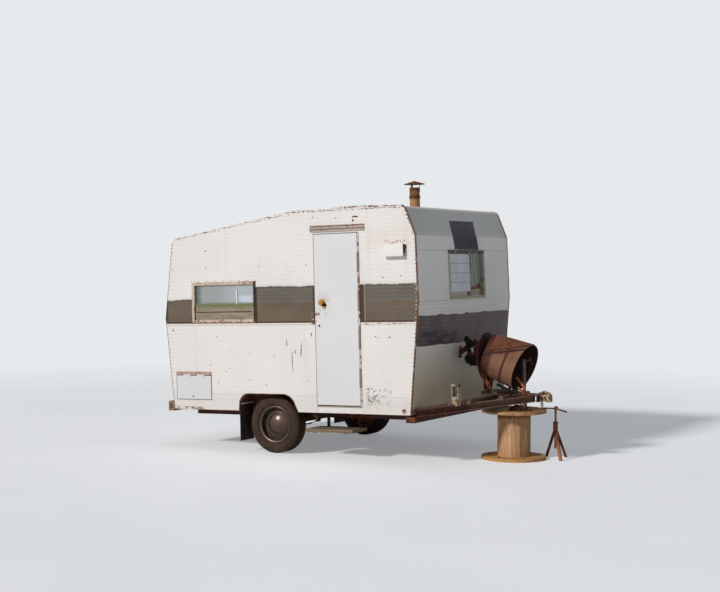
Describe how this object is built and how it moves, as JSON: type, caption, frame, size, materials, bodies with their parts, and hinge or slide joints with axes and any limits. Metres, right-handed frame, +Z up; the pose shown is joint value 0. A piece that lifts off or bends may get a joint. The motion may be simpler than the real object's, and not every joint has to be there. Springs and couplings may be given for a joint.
{
  "type": "ice fishing hut made from an old travel trailer",
  "caption": "Old travel trailer used as an ice fishing hut: ribbed shell with a painted stripe, door, hatch, stove pipe, wheels, and a tow bar with a steel drum, propped on a cable reel.",
  "frame": {"origin": "middle of the object on the ground, under the cabin", "axes": "+X forward, from the rear wall to the tow bar; the door side faces -Y; +Z up"},
  "size_m": [3.9062, 2.09, 2.698],
  "materials": {
    "skin": "weathered white enamel on ribbed sheet",
    "roof": "weathered white enamel",
    "trim": "worn paint and rust",
    "door": "smooth off-white paint",
    "knob": "worn",
    "floor": "bare plywood",
    "window_frame": "weathered",
    "glass": "dusty",
    "blind": "matt",
    "boards": "weathered",
    "roof_vent": "matt",
    "rust": "rusty",
    "chassis": "dark red-brown, rusty",
    "stand": "rusty",
    "galvanised": "dull and rusty",
    "tyre": "dusty",
    "rim": "dirty",
    "hubcap": "dull and dirty",
    "rubber": "matt",
    "step": "weathered",
    "reel_wood": "bare",
    "drum": "orange-brown rust"
  },
  "bodies": {
    "hut": {"side_wall_rear": "skin", "side_wall_front": "skin", "side_wall_header": "skin", "door_sill": "trim", "far_side_wall": "skin", "front_wall_lower": "skin", "front_wall_upper": "skin", "roof_front": "roof", "roof_rear": "roof", "rear_wall_upper": "skin", "rear_wall_lower": "skin", "floor_panel": "floor", "edge_trims": "trim", "drip_rail": "trim", "door_hinge": "trim", "door_staple": "trim", "hatch_hinge": "trim", "side_window_frames": "window_frame", "side_window_boards": "boards", "front_window_frame": "window_frame", "front_window_blind": "blind", "window_panes": "glass", "vent_hood": "skin", "roof_vent": "roof_vent", "stove_pipe": "rust", "pipe_cap": "rust", "wheel_wells": "rust", "chassis_rails": "chassis", "axle": "chassis", "leaf_springs": "chassis", "mud_flaps": "rubber", "step_board": "step", "step_brackets": "chassis", "rear_bumper": "chassis", "tow_arms": "chassis", "coupler": "galvanised", "tongue_jack": "galvanised", "cross_bars": "chassis", "arm_bracket": "galvanised", "reel_flanges": "reel_wood", "reel_staves": "reel_wood", "drum_shell": "drum", "drum_lid": "drum", "drum_cradle": "chassis", "drum_arm": "chassis", "safety_chain": "galvanised", "jack_stand": "stand"},
    "door": {"door_leaf": "door", "door_knob": "knob", "door_latch": "trim"},
    "hatch": {"hatch_door": "skin"},
    "wheel_near": {"tyre_near": "tyre", "rim_near": "rim", "hubcap_near": "hubcap"},
    "wheel_far": {"tyre_far": "tyre", "rim_far": "rim", "hubcap_far": "hubcap"}
  },
  "joints": [
    {"name": "door_swing", "type": "hinge", "parent": "hut", "child": "door", "pos_m": [0.35174, -1.023, 1.31107], "axis": [-0.0349, 0, 0.9994], "range_deg": [0, 120]},
    {"name": "hatch_swing", "type": "hinge", "parent": "hut", "child": "hatch", "pos_m": [-1.59191, -1.0205, 0.73689], "axis": [-0.9994, 0, -0.0349], "range_deg": [0, 100]},
    {"name": "wheel_near_spin", "type": "hinge", "parent": "hut", "child": "wheel_near", "pos_m": [-0.66396, -0.8645, 0.283], "axis": [0, 1, 0], "continuous": true},
    {"name": "wheel_far_spin", "type": "hinge", "parent": "hut", "child": "wheel_far", "pos_m": [-0.66396, 0.8645, 0.283], "axis": [0, 1, 0], "continuous": true}
  ]
}
